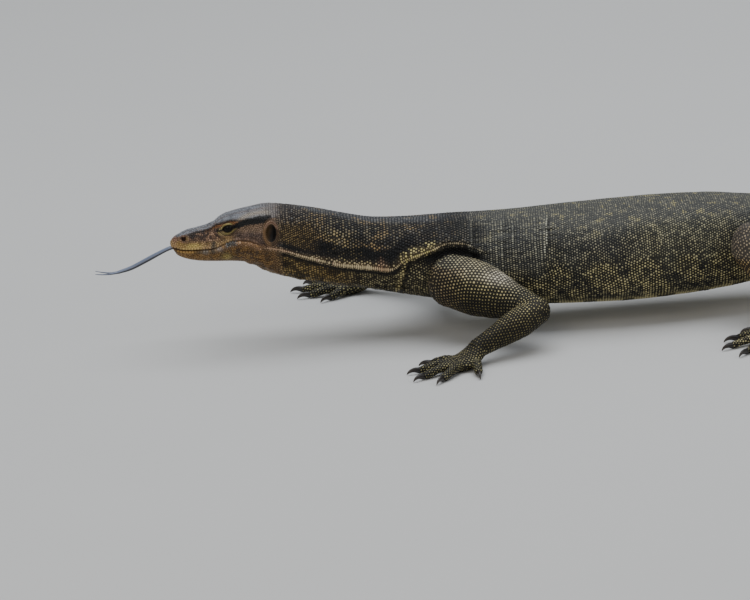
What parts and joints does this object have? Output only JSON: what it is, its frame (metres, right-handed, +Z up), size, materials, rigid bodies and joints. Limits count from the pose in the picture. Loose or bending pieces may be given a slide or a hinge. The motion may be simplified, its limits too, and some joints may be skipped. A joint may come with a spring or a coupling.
{
  "type": "water monitor lizard figure",
  "caption": "Still life-size model of a water monitor lizard walking with its forked tongue out, tail winding behind on the floor.",
  "frame": {"origin": "on the floor, under the middle of the whole animal's box, tongue and tail included", "axes": "the animal faces -X, its left side is on -Y, +Z is up"},
  "size_m": [1.6748, 0.4969, 0.1408],
  "materials": {
    "dark_scaled_skin": "dark grey-black scaled skin with cream spots, satin",
    "brown_head_skin": "brown head skin with fine scales, satin",
    "eye": "dark, wet and glossy",
    "claw_horn": "dark horn, softly polished",
    "tongue": "moist blue-grey"
  },
  "bodies": {
    "root": {"head": "brown_head_skin", "lower_jaw": "brown_head_skin", "tongue": "tongue", "eye_left": "eye", "eye_right": "eye", "neck": "dark_scaled_skin", "torso_front": "dark_scaled_skin", "torso_rear": "dark_scaled_skin", "tail_1": "dark_scaled_skin", "tail_2": "dark_scaled_skin", "tail_3": "dark_scaled_skin", "tail_4": "dark_scaled_skin", "tail_5": "dark_scaled_skin", "upper_arm_left": "dark_scaled_skin", "forearm_left": "dark_scaled_skin", "hand_left": "dark_scaled_skin", "thigh_left": "dark_scaled_skin", "shank_left": "dark_scaled_skin", "foot_left": "dark_scaled_skin", "upper_arm_right": "dark_scaled_skin", "forearm_right": "dark_scaled_skin", "hand_right": "dark_scaled_skin", "thigh_right": "dark_scaled_skin", "shank_right": "dark_scaled_skin", "foot_right": "dark_scaled_skin", "claw_hand_left_1": "claw_horn", "claw_hand_left_2": "claw_horn", "claw_hand_left_3": "claw_horn", "claw_hand_left_4": "claw_horn", "claw_hand_left_5": "claw_horn", "claw_hand_right_1": "claw_horn", "claw_hand_right_2": "claw_horn", "claw_hand_right_3": "claw_horn", "claw_hand_right_4": "claw_horn", "claw_hand_right_5": "claw_horn", "claw_foot_left_1": "claw_horn", "claw_foot_left_2": "claw_horn", "claw_foot_left_3": "claw_horn", "claw_foot_left_4": "claw_horn", "claw_foot_left_5": "claw_horn", "claw_foot_right_1": "claw_horn", "claw_foot_right_2": "claw_horn", "claw_foot_right_3": "claw_horn", "claw_foot_right_4": "claw_horn", "claw_foot_right_5": "claw_horn"}
  },
  "joints": []
}
